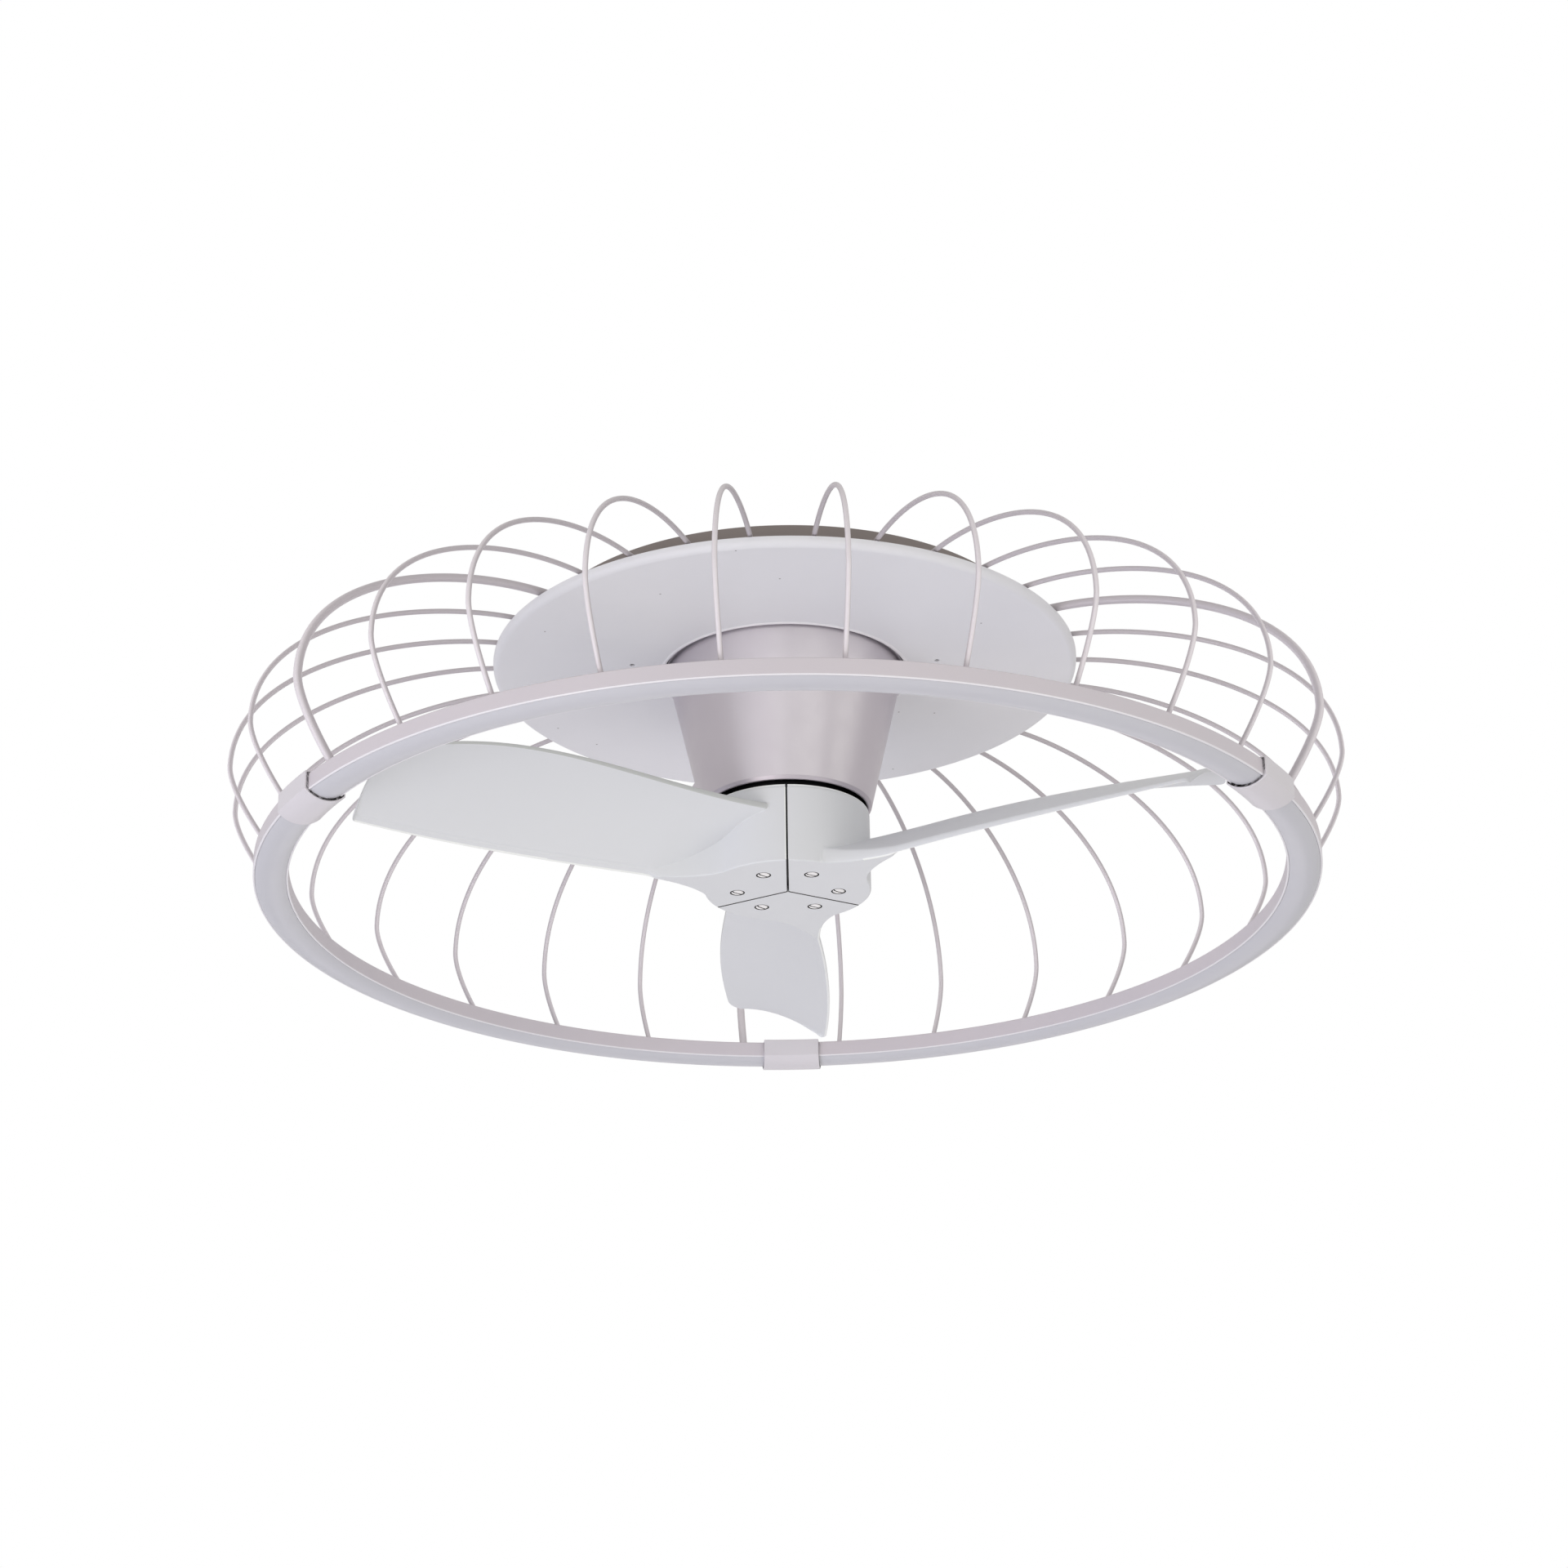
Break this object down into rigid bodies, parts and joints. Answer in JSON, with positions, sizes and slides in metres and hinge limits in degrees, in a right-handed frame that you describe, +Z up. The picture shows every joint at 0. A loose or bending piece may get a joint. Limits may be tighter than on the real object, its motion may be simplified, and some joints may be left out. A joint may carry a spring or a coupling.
{
  "type": "enclosed ceiling fan with light ring",
  "caption": "Ceiling fan with twisted moulded blades turning inside an open cage of bent wire ribs that carries a slim ring light under a round ceiling canopy",
  "frame": {"origin": "Centre of the ceiling face: the middle of the top of the ceiling bracket, on the fan's axis.", "axes": "+Z points up, out of the ceiling face; the fan hangs below z = 0. +X points along the long strap of the bracket. One joint of the light ring and one blade at rest point along +Y."},
  "size_m": [0.6722, 0.6696, 0.1783],
  "materials": {
    "bracket_steel": "zinc-plated sheet steel, dull",
    "grommet_rubber": "soft black rubber, matt",
    "canopy_paint": "dark taupe powder coat, low sheen",
    "white_plastic": "moulded white plastic, matt",
    "circuit_board": "lacquered glass-fibre board with components",
    "screw_steel": "zinc-plated steel screws",
    "frame_paint": "pale warm-grey powder coat, satin",
    "cover_paint": "pale grey paint with a soft metallic sheen",
    "machined_steel": "turned steel",
    "spring_steel": "blackened spring steel",
    "bearing_steel": "ground bearing steel",
    "core_steel": "stacked electrical steel",
    "winding_copper": "enamelled copper wire",
    "magnet": "sintered magnet, dark coating",
    "blade_plastic": "moulded off-white plastic, satin",
    "opal_plastic": "opal light diffuser, satin",
    "strip_board": "white strip of light diodes under a coating"
  },
  "bodies": {
    "frame": {"ceiling_bracket": "bracket_steel", "cable_grommet": "grommet_rubber", "ceiling_canopy": "canopy_paint", "chassis_plate": "canopy_paint", "terminal_block": "white_plastic", "led_driver": "white_plastic", "motor_controller": "circuit_board", "frame_screws": "screw_steel", "disc_cover": "frame_paint", "disc_screws": "spring_steel", "motor_cover": "cover_paint", "motor_shaft": "machined_steel", "retaining_rings": "spring_steel", "motor_bearings": "bearing_steel", "stator_core": "core_steel", "stator_windings": "winding_copper", "cage_hoop": "frame_paint", "ring_segment_a": "frame_paint", "ring_segment_b": "frame_paint", "ring_segment_c": "frame_paint", "ring_diffusers": "opal_plastic", "ring_light_strips": "strip_board", "ring_sleeves": "frame_paint", "wire_rib_1": "frame_paint", "wire_rib_2": "frame_paint", "wire_rib_3": "frame_paint", "wire_rib_4": "frame_paint", "wire_rib_5": "frame_paint", "wire_rib_6": "frame_paint", "wire_rib_7": "frame_paint", "wire_rib_8": "frame_paint", "wire_rib_9": "frame_paint", "wire_rib_10": "frame_paint", "wire_rib_11": "frame_paint", "wire_rib_12": "frame_paint", "wire_rib_13": "frame_paint", "wire_rib_14": "frame_paint", "wire_rib_15": "frame_paint", "wire_rib_16": "frame_paint", "wire_rib_17": "frame_paint", "wire_rib_18": "frame_paint", "wire_rib_19": "frame_paint", "wire_rib_20": "frame_paint", "wire_rib_21": "frame_paint", "wire_rib_22": "frame_paint", "wire_rib_23": "frame_paint", "wire_rib_24": "frame_paint", "wire_rib_25": "frame_paint", "wire_rib_26": "frame_paint", "wire_rib_27": "frame_paint", "lead_tube_a": "frame_paint", "lead_tube_b": "frame_paint", "lead_tube_c": "frame_paint"},
    "rotor": {"rotor_drum": "machined_steel", "rotor_cap": "machined_steel", "rotor_magnets": "magnet", "blade_a": "blade_plastic", "blade_b": "blade_plastic", "blade_c": "blade_plastic", "blade_screws": "screw_steel"}
  },
  "joints": [
    {"name": "rotor_spin", "type": "hinge", "parent": "frame", "child": "rotor", "pos_m": [0, 0, -0.14], "axis": [0, 0, 1], "continuous": true}
  ]
}
